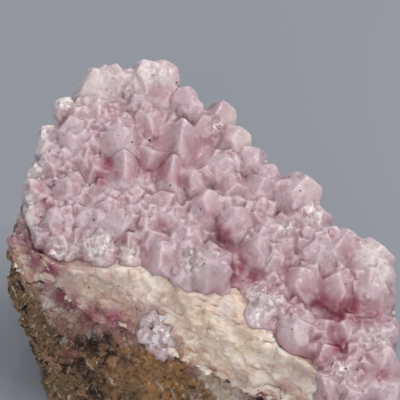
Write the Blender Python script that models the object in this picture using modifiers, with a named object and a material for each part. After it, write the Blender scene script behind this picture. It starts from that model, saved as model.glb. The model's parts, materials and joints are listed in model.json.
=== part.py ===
"""Hand specimen of cobaltoan calcite: a druse of pink crystals on a tilted face of broken
matrix rock, with a bed of cream granular calcite between them.

The specimen stands on its foot at z = 0, in metres, +Z up. Its display face slopes down
towards -Y. A place on that face is given as (across, up, out): millimetres to the right,
up the slope and outward from the middle of the face.
"""

import math
import random

import bmesh
import bpy
from mathutils import Matrix, Vector, noise
from mathutils.bvhtree import BVHTree

MM = 0.001

# Driving dimensions.
SPECIMEN = "cobaltoan_calcite_specimen"
GAP = 0.3 * MM  # clear space between touching pieces
FACE_TILT = math.radians(32.5)  # slope of the display face
FACE_MIDDLE = Vector((-0.35, 1.55, 44)) * MM  # its height is above the foot
SHEET_TOP = -1.6  # out, top of the sheet that the crystals root in
SHEET_BOTTOM = -4.3  # out, where the pink sheet ends and the cream bed starts
BED_BOTTOM = -8.0  # out, where the cream bed ends and the matrix starts
BED_BOTTOM_LEFT = -5.2  # the same at the left end, where the bed thins
BED_THINNEST = 0.9
MERGE = 0.004 * MM  # points nearer than this are one
GRAIN = 1.5 * MM  # size of the rock's even mesh before it is thinned
ROCK_TRIANGLES = 2150
SEAM_SIZE = 64  # half the width of the grids that the seams are cut with
SEAM_CELLS = 18
SWELL = 0.66  # radius at a crystal's root, in its widths
FOOTPRINT = 0.38  # radius that a crystal keeps clear around it, in its widths
ROOT = 2.2  # length of a crystal that is buried in the sheet
SEED = 27

ACROSS = Vector((1, 0, 0))
UP_FACE = Vector((0, math.cos(FACE_TILT), math.sin(FACE_TILT)))
OUTWARD = Vector((0, -math.sin(FACE_TILT), math.cos(FACE_TILT)))

# Faces of the broken lump: an outward normal, and a point on the face in millimetres
# from the middle of the display face.
ROCK_FACES = {
    "display face": ((0, -0.5373, 0.8434), (0, 0.97, -1.5)),
    "back right of the crest": ((0.653, 0.737, 0.173), (15.6, 5.6, 1)),
    "top back": ((-0.1, 0.9, 0.35), (-16, 26, 13.6)),
    "upper left flank": ((-0.826, 0.521, 0.203), (-28.6, 15, 7)),
    "left flank": ((-0.975, 0.216, 0.047), (-38.2, -4.8, -5.2)),
    "lower left flank": ((-0.936, -0.2015, -0.2875), (-35.6, -16.1, -22.9)),
    "front bevel": ((-0.2675, -0.9048, 0.3316), (-4.4, -19.4, -14.5)),
    "front": ((-0.377, -0.922, -0.087), (-8, -20.7, -20.9)),
    "front undercut": ((-0.3, -0.8, -0.5), (-8, -22.5, -40)),
    "right end": ((0.98, -0.05, -0.12), (37.8, -14, -20)),
    "right front corner": ((0.62, -0.74, -0.2), (34, -38, -32)),
    "lower back": ((0.15, 0.93, -0.33), (4, 23, -25)),
}

# Edge of the druse along the front, where the crystals have broken off: (across, up).
DRUSE_EDGE = [
    (-40, -8), (-28, -10.6), (-12, -10.8), (-7, -12.4), (-2.6, -16), (3, -16.2),
    (7, -19), (10, -23), (15, -25.4), (17, -29), (22, -32), (25, -36), (30, -42), (45, -46),
]

# Hollows and lumps of the broken rock: a point from the middle of the display face, a
# radius and a depth (a lump is negative).
ROCK_RELIEF = [
    ((-21.5, -18.5, -26), 5.0, 2.6),
    ((-31, -17, -17), 5.5, -1.6),
    ((-15, -21, -32), 6.0, -1.8),
    ((-34, -10, -28), 6.0, 1.8),
    ((-2, -25, -28), 5.0, 1.6),
    ((9, -29, -31), 6.5, -2.0),
    ((20, -34, -35), 6.0, 2.0),
    ((-31, 14, -16), 9.0, 2.4),
    ((-8, 26, -14), 10.0, -2.2),
    ((12, 18, -24), 8.0, 2.6),
    ((30, -4, -26), 8.0, -2.0),
    ((37, -22, -31), 6.0, 1.8),
]

# Crystals that can be told apart, each with the place of its middle (across, up), its
# width, the height that stands clear of the sheet, its habit and its lean (right, up) in
# degrees from the outward direction.
CRYSTALS = [
    # Crest and upper left rim.
    (-21, 27, 7.5, 6.0, "block", -10, 18), (-17, 28, 5.0, 5.0, "block", 0, 25),
    (-13.4, 26, 4.8, 5.0, "egg", 0, 16), (-11, 28, 4.6, 7.0, "block", -6, 26),
    (-7.4, 28, 5.0, 7.0, "block", 10, 24), (-28, 21, 4.6, 4.5, "block", -30, 20),
    (-31, 15, 4.0, 5.0, "block", -38, 12), (-25.5, 15, 6.2, 5.6, "block", -16, 10),
    (-26, 9.5, 5.4, 5.0, "egg", -12, 0), (-3, 23, 4.4, 5.0, "egg", 8, 20),
    (-2, 20.5, 4.2, 5.0, "egg", 0, 12), (4.3, 19.3, 4.8, 6.5, "block", 12, 24),
    (1, 17, 4.4, 5.0, "block", -10, 10), (7.5, 14, 4.6, 5.6, "block", 24, 18),
    (10.8, 9.6, 4.6, 5.4, "block", 28, 16), (14, 6.2, 4.0, 4.6, "egg", 28, 16),
    # Upper field.
    (-16, 14.5, 8.6, 6.6, "egg", 4, 8), (-15.5, 6.6, 7.2, 10.5, "tooth", 4, 28),
    (-3.6, 13.8, 9.4, 11.0, "tooth", 2, 24), (-5.2, 6, 6.4, 9.5, "tooth", 2, 26),
    (-10.2, 17.6, 5.4, 5.0, "block", -8, 6), (-20.5, 19.5, 6.0, 5.0, "block", 6, 0),
    (-1, 4.6, 4.6, 5.4, "egg", -4, 8), (1.6, -1, 5.2, 8.0, "egg", 0, 20),
    (5, 7.6, 8.0, 6.2, "egg", 12, 4), (7, 2.4, 5.2, 5.4, "block", 10, -4),
    (7, -3.6, 6.4, 6.6, "egg", 2, 10), (12.4, 3, 5.6, 6.0, "block", 18, 10),
    (-10, 9.6, 4.6, 5.0, "block", 10, -10), (-21, 6.4, 5.2, 5.0, "block", -8, -6),
    (-30.6, 8, 4.6, 4.4, "block", -34, 0),
    # Left and middle field.
    (-21, -0.6, 5.4, 5.4, "block", 0, -18), (-28, -4.4, 5.6, 5.4, "egg", -14, -4),
    (-33, 0, 3.6, 3.8, "block", -36, 0), (-17.4, -3.6, 8.4, 4.6, "flat", 0, -8),
    (-26.4, 2.6, 5.2, 5.2, "block", -14, 6), (-14, -9.4, 5.4, 7.2, "tooth", 0, 22),
    (-22, -9.4, 4.4, 4.2, "block", -10, -8), (-18.8, -11, 4.2, 4.4, "egg", 6, -8),
    (-9.6, -2.6, 5.6, 6.0, "block", -10, 6), (-6, -4, 5.0, 5.6, "block", 12, 0),
    (-7.5, -11.4, 6.6, 7.4, "block", 0, 14), (-2.6, -7.6, 5.4, 5.2, "egg", 0, 4),
    (-2.4, -12.4, 4.6, 4.8, "block", 10, 4), (-3.4, -16.4, 6.6, 4.8, "egg", -6, -6),
    (2.2, -14.6, 6.8, 8.0, "flat", 2, 16), (-32, -8, 4.0, 3.8, "block", -30, -10),
    # Right field.
    (12.4, -9.4, 7.6, 6.2, "egg", 0, 6), (17.6, -9.4, 5.6, 5.4, "block", 22, -10),
    (13.4, -5.4, 5.0, 5.0, "egg", 8, 10), (14.6, -13, 4.8, 4.6, "block", -6, -8),
    (17, 2.8, 3.8, 5.0, "block", 26, 18), (20.6, 2.4, 6.8, 7.4, "block", 22, 18),
    (23.4, -3.2, 5.0, 5.2, "block", 24, 6), (24.8, -7.2, 4.0, 4.6, "block", 10, 0),
    (19, -4.6, 4.8, 5.0, "egg", 0, 0), (24, -11.4, 7.4, 6.0, "egg", 0, 2),
    (29, -8.6, 6.8, 6.8, "block", 20, 14), (35, -11.4, 6.4, 6.0, "block", 26, 10),
    (36.6, -15.4, 4.2, 4.6, "egg", 24, 0), (32.4, -14.4, 4.8, 4.8, "block", 4, 6),
    (20.4, -16.6, 5.8, 6.6, "block", 0, 10), (27.4, -17.8, 5.4, 6.8, "block", 0, 14),
    (34, -19, 8.4, 6.0, "egg", 12, 0), (12.6, -22, 9.4, 6.8, "block", -4, 8),
    # Lower right field.
    (19.6, -27.4, 6.8, 6.8, "egg", -2, 6), (25, -27.4, 4.2, 5.0, "block", 4, 4),
    (28.4, -27.6, 4.4, 5.0, "block", -6, 6), (31.6, -28.6, 4.6, 5.0, "block", 8, 0),
    (36, -29, 4.8, 4.8, "block", 20, 0), (36, -34.4, 6.6, 6.4, "egg", 16, 0),
    (24.6, -32, 4.4, 5.2, "block", -10, 0), (28.8, -36.6, 5.6, 5.4, "block", 0, -6),
    (31, -32.8, 4.6, 5.0, "egg", 4, 0), (34, -39.6, 5.0, 5.0, "block", 8, -14),
    (37.6, -40, 4.6, 4.6, "block", 24, -14), (29.6, -41, 5.4, 4.8, "block", -8, -16),
    (24.6, -38.4, 5.0, 4.6, "block", -14, -10),
]

# Deep hollows between the crystals, left bare: (across, up, radius).
HOLLOWS = [
    (-18, 7.6, 2.6), (5.4, -9.4, 3.0), (9.2, -15.6, 4.4), (25, -22.4, 3.4),
    (33.4, -24.2, 3.6), (27.4, -31, 2.0),
]
FILLER_TRIES = 520
FILLER_WIDTH = (3.0, 4.8)
FILLER_SPREAD = 20  # degrees of lean either way

# Taper of the sides (top over root), then each ring of cap faces: the angle of their
# normals from the axis, how many there are, their turn, and the place that they pass
# through, in widths from the axis and below the tip.
HABITS = {
    "tooth": (0.16, [(62, 3, 0, 0.0, 0.0)]),
    "block": (0.62, [(47, 3, 0, 0.0, 0.0)]),
    "egg": (0.70, [(36, 3, 0, 0.0, 0.0), (58, 3, 60, 0.28, 0.16)]),
    "flat": (0.74, [(9, 1, 270, 0.0, 0.0), (50, 3, 30, 0.34, 0.05)]),
}

# Colours and roughness of the three materials.
MATERIALS = {
    "matrix_rock": ((0.155, 0.098, 0.062), 0.9),
    "cream_calcite_layer": ((0.62, 0.50, 0.38), 0.65),
    "pink_crystal_druse": ((0.56, 0.30, 0.34), 0.35),
}


def on_face(across, up, out=0.0):
    """World point of a place on the display face, given in millimetres."""
    return FACE_MIDDLE + (ACROSS * across + UP_FACE * up + OUTWARD * out) * MM


def face_place(point):
    """(across, up, out) in millimetres of a world point."""
    offset = (point - FACE_MIDDLE) / MM
    return offset.dot(ACROSS), offset.dot(UP_FACE), offset.dot(OUTWARD)


def smooth_step(value):
    """0 below 0, 1 above 1, and an even curve between."""
    value = max(0.0, min(1.0, value))
    return value * value * (3 - 2 * value)


def druse_edge(across):
    """How far up the face the front edge of the druse lies, at this place across."""
    for (left, low), (right, high) in zip(DRUSE_EDGE, DRUSE_EDGE[1:]):
        if across <= right:
            return low + (high - low) * (across - left) / (right - left)
    return DRUSE_EDGE[-1][1]


def sheet_seam(across, up):
    """Out of the seam between the pink sheet and the cream bed, behind the druse's edge."""
    return SHEET_BOTTOM + 0.6 * noise.noise(Vector((across, up, 3)) / 9)


def sheet_bottom(across, up):
    """The same seam over the whole face: past the druse's front edge it climbs to just
    above the bare bed."""
    seam = sheet_seam(across, up)
    climb = smooth_step((druse_edge(across) - up) / 3.0)
    return seam + climb * (SHEET_TOP + 1.2 - seam)


def bed_bottom(across, up):
    """Out of the seam between the cream bed and the matrix."""
    wave = 1.6 * noise.noise(Vector((across, up, 40)) / 11)
    thin = smooth_step((-16 - across) / 12)
    seam = BED_BOTTOM + thin * (BED_BOTTOM_LEFT - BED_BOTTOM) + wave
    return min(seam, sheet_seam(across, up) - BED_THINNEST)


def cut(mesh, point, normal):
    """Cuts a closed bmesh with a plane, drops what lies beyond it and caps the cut."""
    geometry = mesh.verts[:] + mesh.edges[:] + mesh.faces[:]
    result = bmesh.ops.bisect_plane(
        mesh, geom=geometry, dist=1e-7, plane_co=point, plane_no=normal, clear_outer=True
    )
    edges = [item for item in result["geom_cut"] if isinstance(item, bmesh.types.BMEdge)]
    if edges:
        bmesh.ops.contextual_create(mesh, geom=edges)


def new_object(name, mesh, collection):
    """Object of a bmesh, which is freed."""
    bmesh.ops.recalc_face_normals(mesh, faces=mesh.faces[:])
    data = bpy.data.meshes.new(name)
    mesh.to_mesh(data)
    mesh.free()
    item = bpy.data.objects.new(name, data)
    collection.objects.link(item)
    return item


def apply_modifiers(item):
    """Replaces the object's mesh with what its modifiers make, and drops them."""
    graph = bpy.context.evaluated_depsgraph_get()
    data = bpy.data.meshes.new_from_object(item.evaluated_get(graph))
    item.modifiers.clear()
    item.data = data


def closed_volume(data):
    """Volume of a mesh in cubic metres, or nothing if it isn't closed."""
    mesh = bmesh.new()
    mesh.from_mesh(data)
    closed = all(edge.is_contiguous for edge in mesh.edges)
    volume = mesh.calc_volume() if closed else None
    mesh.free()
    return volume


def boolean(item, other, operation):
    """Applies one Boolean of the other object to the item. The MANIFOLD solver is for a
    cut that EXACT leaves open, or whose volume is out of bounds."""
    whole = item.data
    volumes = closed_volume(whole), closed_volume(other.data)
    low, high = max(volumes), sum(volumes)
    if operation == "INTERSECT":
        low, high = 0, min(volumes)
    for solver in ("EXACT", "MANIFOLD"):
        modifier = item.modifiers.new(operation, "BOOLEAN")
        modifier.object = other
        modifier.operation = operation
        modifier.solver = solver
        apply_modifiers(item)
        volume = closed_volume(item.data)
        if volume is not None and low * 0.9999 < volume < high * 1.0001:
            return
        print(item.name, operation, "failed with", solver)
        item.data = whole


def roughness(point):
    """Out-of-plane relief of the broken rock at a point, in metres."""
    place = (point - FACE_MIDDLE) / MM
    broad = 1.9 * noise.noise(place / 15)
    ledges = 1.6 * abs(noise.noise((place + Vector((40, 0, 0))) / 8))
    fine = 0.6 * noise.noise(place / 3.4)
    relief = broad - ledges + fine
    for centre, radius, depth in ROCK_RELIEF:
        near = 1 - (place - Vector(centre)).length / radius
        relief -= depth * smooth_step(near)
    return relief * MM


def remesh_evenly(item):
    """Gives the object one closed skin of even quads."""
    remesh = item.modifiers.new("Even mesh", "REMESH")
    remesh.mode = "VOXEL"
    remesh.voxel_size = GRAIN
    apply_modifiers(item)


def rock_body(collection):
    """The whole lump: a block cut by its faces, meshed evenly, roughened and thinned, on a
    flat foot. The display face keeps a calmer relief."""
    mesh = bmesh.new()
    bmesh.ops.create_cube(mesh, size=150 * MM, matrix=Matrix.Translation((0, 0, 70 * MM)))
    for normal, point in ROCK_FACES.values():
        cut(mesh, FACE_MIDDLE + Vector(point) * MM, Vector(normal).normalized())
    body = new_object("rock_body", mesh, collection)
    remesh_evenly(body)
    normals = [vertex.normal.copy() for vertex in body.data.vertices]
    for vertex, normal in zip(body.data.vertices, normals):
        calm = 0.35 if normal.dot(OUTWARD) > 0.9 else 1.0
        vertex.co += normal * roughness(vertex.co) * calm
    remesh_evenly(body)
    thin = body.modifiers.new("Fewer faces", "DECIMATE")
    thin.ratio = ROCK_TRIANGLES / (2 * len(body.data.polygons))
    apply_modifiers(body)
    mesh = bmesh.new()
    mesh.from_mesh(body.data)
    cut(mesh, Vector((0, 0, 0)), Vector((0, 0, -1)))
    bmesh.ops.triangulate(mesh, faces=mesh.faces[:])
    mesh.to_mesh(body.data)
    mesh.free()
    return body


def slab(name, low, high, collection):
    """Closed slab between two height functions over the display face."""
    mesh = bmesh.new()
    bmesh.ops.create_grid(mesh, x_segments=SEAM_CELLS, y_segments=SEAM_CELLS, size=SEAM_SIZE)
    lower = mesh.verts[:]
    result = bmesh.ops.extrude_face_region(mesh, geom=mesh.faces[:])
    upper = [item for item in result["geom"] if isinstance(item, bmesh.types.BMVert)]
    for vertex in lower:
        vertex.co = on_face(vertex.co.x, vertex.co.y, low(vertex.co.x, vertex.co.y))
    for vertex in upper:
        vertex.co = on_face(vertex.co.x, vertex.co.y, high(vertex.co.x, vertex.co.y))
    bmesh.ops.triangulate(mesh, faces=mesh.faces[:])
    cutter = new_object(name, mesh, collection)
    cutter.hide_render = True
    cutter.display_type = "WIRE"
    return cutter


def crystal(width, height, habit, axis, foot, turn, chance):
    """Closed bmesh of one crystal: six sides in unlike pairs, cut by its cap faces."""
    taper, caps = HABITS[habit]
    mesh = bmesh.new()
    length = height * 1.1 + ROOT
    bmesh.ops.create_cone(
        mesh, cap_ends=True, segments=6, radius1=width * SWELL, radius2=width * SWELL * taper,
        depth=length, matrix=Matrix.Translation((0, 0, length / 2 - ROOT)),
    )
    for vertex in mesh.verts:
        sector = round(math.atan2(vertex.co.y, vertex.co.x) / math.radians(60))
        swell = 1.08 if sector % 2 else 0.94
        vertex.co.x *= swell
        vertex.co.y *= swell
    for angle, count, start, reach, fall in caps:
        for step in range(count):
            around = math.radians(start + step * 360 / count + chance.uniform(-7, 7))
            steep = math.radians(angle + chance.uniform(-4, 4))
            outer = Vector((math.cos(around), math.sin(around), 0))
            normal = outer * math.sin(steep) + Vector((0, 0, math.cos(steep)))
            place = outer * reach * width + Vector((0, 0, height - fall * width))
            cut(mesh, place - normal * chance.uniform(0, 0.06) * width, normal)
    placing = (
        Matrix.Translation(foot) @ axis.to_track_quat("Z", "Y").to_matrix().to_4x4()
        @ Matrix.Rotation(turn, 4, "Z") @ Matrix.Scale(MM, 4)
    )
    mesh.transform(placing)
    return mesh


def lean_axis(right, up):
    """Direction of a crystal that leans by these degrees from the outward direction."""
    tilt = ACROSS * math.tan(math.radians(right)) + UP_FACE * math.tan(math.radians(up))
    return (OUTWARD + tilt).normalized()


def listed_crystals(surface, chance):
    """Bmesh and footprint (across, up, radius) of each crystal in the list."""
    for across, up, width, height, habit, right, lean_up in CRYSTALS:
        axis = lean_axis(right, lean_up)
        foot = on_face(across, up) - axis * (height / 2 * MM)
        near = surface.find_nearest(foot)[0]
        foot += OUTWARD * min(0, (near - foot).dot(OUTWARD))
        turn = chance.uniform(0, math.tau)
        mesh = crystal(width, height, habit, axis, foot, turn, chance)
        yield mesh, (across, up, width * FOOTPRINT)


def filler_crystals(surface, taken, chance):
    """Bmesh of each smaller crystal, grown where the sheet is still bare."""
    for _ in range(FILLER_TRIES):
        place = on_face(chance.uniform(-40, 41), chance.uniform(-46, 32), SHEET_TOP)
        width = chance.uniform(*FILLER_WIDTH)
        foot, normal = surface.find_nearest(place)[:2]
        across, up, out = face_place(foot)
        bare = all(
            math.hypot(across - other, up - other_up) > radius + width * 0.25
            for other, other_up, radius in taken
        )
        if out < SHEET_BOTTOM + 1 or up < druse_edge(across) + 1 or not bare:
            continue
        taken.append((across, up, width * FOOTPRINT))
        lean = [chance.uniform(-FILLER_SPREAD, FILLER_SPREAD) for _ in range(2)]
        axis = (lean_axis(*lean) + normal * 0.7).normalized()
        height = width * chance.uniform(0.9, 1.25)
        habit = chance.choice(["block", "block", "egg", "tooth"])
        turn = chance.uniform(0, math.tau)
        yield crystal(width, height, habit, axis, foot, turn, chance)


def druse(body, collection):
    """The body with every crystal joined to it."""
    chance = random.Random(SEED)
    surface = BVHTree.FromObject(body, bpy.context.evaluated_depsgraph_get())
    grown = list(listed_crystals(surface, chance))
    taken = HOLLOWS + [footprint for _, footprint in grown]
    meshes = [mesh for mesh, _ in grown] + list(filler_crystals(surface, taken, chance))
    print(len(meshes), "crystals")
    crust = body.copy()
    crust.data = body.data.copy()
    crust.name = "crust"
    collection.objects.link(crust)
    for mesh in meshes:
        single = new_object("crystal", mesh, collection)
        boolean(crust, single, "UNION")
        bpy.data.objects.remove(single)
    return crust


def loose_parts(mesh):
    """The bmesh's vertices, grouped into its separate bodies."""
    left = set(mesh.verts)
    bodies = []
    while left:
        body = {left.pop()}
        front = list(body)
        while front:
            edges = front.pop().link_edges
            near = {vertex for edge in edges for vertex in edge.verts} & left
            left -= near
            body |= near
            front.extend(near)
        bodies.append(body)
    return bodies


def tidy_mesh(item):
    """Keeps the largest body, and drops crumbs and slivers."""
    mesh = bmesh.new()
    mesh.from_mesh(item.data)
    bmesh.ops.remove_doubles(mesh, verts=mesh.verts[:], dist=MERGE)
    bmesh.ops.dissolve_degenerate(mesh, edges=mesh.edges[:], dist=MERGE / 2)
    bmesh.ops.triangulate(mesh, faces=mesh.faces[:])
    crumbs = sorted(loose_parts(mesh), key=len)[:-1]
    bmesh.ops.delete(mesh, geom=[vertex for body in crumbs for vertex in body])
    mesh.to_mesh(item.data)
    mesh.free()


def material(name):
    """Principled material of one piece."""
    colour, rough = MATERIALS[name]
    made = bpy.data.materials.new(name)
    made.use_nodes = True
    shader = made.node_tree.nodes["Principled BSDF"]
    shader.inputs["Base Color"].default_value = (*colour, 1)
    shader.inputs["Roughness"].default_value = rough
    shader.inputs["Metallic"].default_value = 0
    made.diffuse_color = (*colour, 1)
    return made


def layer_of(name, source, low, high, parts, cutters):
    """The piece of the source between two seams, with its material."""
    piece = source.copy()
    piece.name = name
    piece.data = source.data.copy()
    piece.data.name = name
    parts.objects.link(piece)
    boolean(piece, slab(name + "_cutter", low, high, cutters), "INTERSECT")
    tidy_mesh(piece)
    piece.data.materials.clear()
    piece.data.materials.append(material(name))
    return piece


def main():
    for item in list(bpy.data.objects):
        bpy.data.objects.remove(item)
    parts = bpy.data.collections.new(SPECIMEN)
    cutters = bpy.data.collections.new(SPECIMEN + "_cutters")
    for collection in (parts, cutters):
        bpy.context.scene.collection.children.link(collection)

    body = rock_body(cutters)
    half = GAP / 2 / MM
    layer_of(
        "matrix_rock", body, lambda x, y: -120, lambda x, y: bed_bottom(x, y) - half,
        parts, cutters,
    )
    layer_of(
        "cream_calcite_layer", body, lambda x, y: bed_bottom(x, y) + half,
        lambda x, y: sheet_bottom(x, y) - half, parts, cutters,
    )
    crust = druse(body, cutters)
    layer_of(
        "pink_crystal_druse", crust, lambda x, y: sheet_bottom(x, y) + half,
        lambda x, y: 60, parts, cutters,
    )
    for helper in (body, crust):
        helper.hide_render = True
        helper.display_type = "WIRE"


main()
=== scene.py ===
# %% [markdown]
# # A cobaltoan calcite hand specimen, step by step
# The real thing is one broken lump with three parts that grew on each other: brown matrix
# rock, a bed of cream granular calcite on it, and a crust of pale pink calcite crystals.
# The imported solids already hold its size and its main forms. This lesson dresses them:
# each layer gets its own fine surface and finish, and the crust is rebuilt crystal by
# crystal, because its facets and soft edges are what the eye looks at first.

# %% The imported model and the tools
import json
import math
import random

import bmesh
import bpy
import numpy as np
from mathutils import Matrix, Vector, noise
from mathutils.bvhtree import BVHTree
from mathutils.kdtree import KDTree

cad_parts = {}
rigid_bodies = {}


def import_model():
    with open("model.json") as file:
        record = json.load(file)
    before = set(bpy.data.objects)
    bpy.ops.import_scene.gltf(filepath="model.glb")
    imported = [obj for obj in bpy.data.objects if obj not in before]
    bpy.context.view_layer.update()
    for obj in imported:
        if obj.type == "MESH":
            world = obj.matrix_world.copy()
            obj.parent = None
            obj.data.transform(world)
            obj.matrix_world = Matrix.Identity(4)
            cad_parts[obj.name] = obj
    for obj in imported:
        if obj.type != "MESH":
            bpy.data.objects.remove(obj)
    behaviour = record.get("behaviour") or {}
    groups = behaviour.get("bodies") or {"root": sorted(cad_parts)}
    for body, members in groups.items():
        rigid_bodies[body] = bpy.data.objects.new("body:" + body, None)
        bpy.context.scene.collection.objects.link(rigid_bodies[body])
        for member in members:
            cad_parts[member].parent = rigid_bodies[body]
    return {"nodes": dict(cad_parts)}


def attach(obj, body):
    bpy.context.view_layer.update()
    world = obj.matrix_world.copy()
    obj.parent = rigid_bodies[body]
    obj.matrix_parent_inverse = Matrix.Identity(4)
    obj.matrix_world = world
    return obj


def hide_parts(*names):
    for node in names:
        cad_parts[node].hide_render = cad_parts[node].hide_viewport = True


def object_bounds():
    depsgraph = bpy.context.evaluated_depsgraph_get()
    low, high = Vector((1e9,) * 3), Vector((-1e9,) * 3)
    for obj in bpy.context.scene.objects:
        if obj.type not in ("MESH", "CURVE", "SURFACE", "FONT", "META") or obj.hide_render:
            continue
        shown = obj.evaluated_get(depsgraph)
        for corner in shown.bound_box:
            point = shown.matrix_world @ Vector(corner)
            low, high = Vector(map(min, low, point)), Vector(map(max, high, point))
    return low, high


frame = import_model()
cad_box = [[float(value) for value in corner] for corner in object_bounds()]
MM = 0.001
print("the solids span", [round((high - low) / MM, 1) for low, high in zip(*cad_box)], "mm")

# %% [markdown]
# ## Finding places on the crystal face
# The crystal face slopes down towards the viewer, so a place on it is easier to name in
# millimetres across, up the slope and outward than by X, Y and Z. These vectors repeat
# the driving dimensions of the solids. Other places are named by where the camera sees
# them, right and down in a frame of 400 by 400.

# %% The face's own directions
FACE_TILT = math.radians(32.5)
FACE_MIDDLE = Vector((-0.35, 1.55, 44)) * MM
ACROSS = Vector((1, 0, 0))
UP_FACE = Vector((0, math.cos(FACE_TILT), math.sin(FACE_TILT)))
OUTWARD = Vector((0, -math.sin(FACE_TILT), math.cos(FACE_TILT)))

VIEW_ELEVATION = math.radians(35)
VIEW_DISTANCE = 0.70  # metres from the camera to the middle of the face
VIEW_WIDTH = 0.080  # metres that fill the frame there
FRAME = 400  # steps across and down the frame
LOOK = Vector((0, math.cos(VIEW_ELEVATION), -math.sin(VIEW_ELEVATION)))
CAMERA_PLACE = FACE_MIDDLE - LOOK * VIEW_DISTANCE


def on_face(across, up):
    """World point of a place on the crystal face, given in millimetres."""
    return FACE_MIDDLE + (ACROSS * across + UP_FACE * up) * MM


def lean_axis(right, up):
    """Direction that leans by these degrees from the outward direction."""
    tilt = ACROSS * math.tan(math.radians(right)) + UP_FACE * math.tan(math.radians(up))
    return (OUTWARD + tilt).normalized()


def seen_at(points):
    """Place (right, down) of world points in a frame of 400 by 400."""
    offset = np.asarray(points) - np.array(CAMERA_PLACE)
    scale = FRAME * VIEW_DISTANCE / VIEW_WIDTH / (offset @ np.array(LOOK))
    return (
        FRAME / 2 + offset @ np.array(ACROSS) * scale,
        FRAME / 2 - offset @ np.array(ACROSS.cross(LOOK)) * scale,
    )


def rows(table):
    """Rows of a table of numbers and words, with commas between the rows. It keeps long
    lists of places short."""
    cells = [row.split() for row in table.split(",")]
    return [[cell if cell.isalpha() else float(cell) for cell in row] for row in cells]


def below_edge(right, down, edge):
    """How far below an edge line of the frame each place lies."""
    return down - np.interp(right, *zip(*edge))


def smooth_step(value):
    """0 below 0, 1 above 1, and an even curve between. It takes arrays too."""
    value = np.clip(value, 0.0, 1.0)
    return value * value * (3 - 2 * value)

# %% [markdown]
# ## Camera
# A long lens keeps the crystals in proportion, where a near camera would bend them. It
# looks at the crystal face from 35 degrees above the table. 80 mm fill the frame, so the
# lower end of the lump runs out of it.

# %% The camera
SENSOR_MM = 36.0

camera_data = bpy.data.cameras.new("camera")
camera_data.sensor_width = SENSOR_MM
camera_data.lens = SENSOR_MM * VIEW_DISTANCE / VIEW_WIDTH
camera_data.clip_start = 0.01
camera_data.clip_end = 20
camera = bpy.data.objects.new("camera", camera_data)
bpy.context.scene.collection.objects.link(camera)
camera.location = CAMERA_PLACE
camera.rotation_euler = LOOK.to_track_quat("-Z", "Y").to_euler()
bpy.context.scene.camera = camera
print("camera with a", round(camera_data.lens), "mm lens")

# %% [markdown]
# ## Table and light
# A plain cool grey table runs far back, so that it fills the view. One wide lamp stands
# high on the right and a little behind: it rakes over the crystals, lights their upper
# facets and leaves the front and the left flank in soft shade. A weak wide lamp in front
# keeps the shade readable, and four tiny ones make facets flash. One bright sky would be
# simpler, but it would flatten the crystals.

# %% The table and the sky
bpy.context.scene.view_settings.view_transform = "Standard"
TABLE_GREY = (0.300, 0.309, 0.332, 1)
TABLE_SIZE = 6  # metres
SKY = (0.80, 0.87, 1.0, 1)
SKY_STRENGTH = 0.46

bpy.ops.object.select_all(action="DESELECT")
bpy.ops.mesh.primitive_plane_add(size=TABLE_SIZE)
table = bpy.context.object
table.name = "table"
table_finish = bpy.data.materials.new("table_finish")
table_finish.use_nodes = True
table_shader = table_finish.node_tree.nodes["Principled BSDF"].inputs
table_shader["Base Color"].default_value = TABLE_GREY
table_shader["Roughness"].default_value = 0.8
table_shader["Specular IOR Level"].default_value = 0.2
table.data.materials.append(table_finish)

world = bpy.data.worlds.new("studio")
world.use_nodes = True
sky = world.node_tree.nodes["Background"].inputs
sky["Color"].default_value = SKY
sky["Strength"].default_value = SKY_STRENGTH
bpy.context.scene.world = world
print("table", TABLE_SIZE, "m wide")

# %% The lamps
def lamp(name, place, size, power, colour):
    """Square area lamp at a place relative to the crystal face, aimed at it."""
    data = bpy.data.lights.new(name, "AREA")
    data.size = size
    data.energy = power
    data.color = colour
    item = bpy.data.objects.new(name, data)
    item.location = FACE_MIDDLE + Vector(place)
    item.rotation_euler = Vector(place).to_track_quat("Z", "Y").to_euler()
    bpy.context.scene.collection.objects.link(item)


# Place in metres from the middle of the face, width in metres, watts, colour.
lamp("key_lamp", (0.27, -0.02, 0.52), 0.36, 1.72, (1.0, 0.97, 0.92))
lamp("fill_lamp", (-0.06, -0.60, 0.16), 0.40, 1.8, (1.0, 0.98, 0.96))
GLINTS = [(0.30, 0.10, 0.44), (0.04, 0.36, 0.44), (-0.22, 0.24, 0.46), (0.16, -0.20, 0.52)]
GLINT_SIZE, GLINT_POWER = 0.016, 0.22
for number, place in enumerate(GLINTS):
    lamp(f"glint_lamp_{number}", place, GLINT_SIZE, GLINT_POWER, (1.0, 1.0, 1.0))

# %% [markdown]
# ## Working by hand, in code
# Most steps do what hands do in the viewport: pick an object, enter edit mode, run an
# operator, apply a modifier. Operators act on whatever is selected, so helpers first clear
# the selection. Where every vertex moves by its own amount, arrays do in a moment what a
# loop would take minutes for.

# %% Selecting, editing and applying
MERGE_DISTANCE = 0.000002


def pick(*items):
    """Selects only these objects, with the first one active."""
    bpy.ops.object.select_all(action="DESELECT")
    for item in items:
        item.select_set(True)
    bpy.context.view_layer.objects.active = items[0]


def apply_modifier(item, kind, **settings):
    """Adds one modifier with these settings and applies it."""
    modifier = item.modifiers.new(kind.title(), kind)
    for name, value in settings.items():
        setattr(modifier, name, value)
    pick(item)
    bpy.ops.object.modifier_apply(modifier=modifier.name)


def merged_copy(node, name):
    """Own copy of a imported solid, with its loose triangles merged into one skin."""
    item = bpy.data.objects.new(name, frame["nodes"][node].data.copy())
    item.data.name = name
    item.data.materials.clear()
    bpy.context.scene.collection.objects.link(item)
    pick(item)
    bpy.ops.object.mode_set(mode="EDIT")
    bpy.ops.mesh.select_all(action="SELECT")
    bpy.ops.mesh.remove_doubles(threshold=MERGE_DISTANCE)
    bpy.ops.object.mode_set(mode="OBJECT")
    return item


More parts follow.
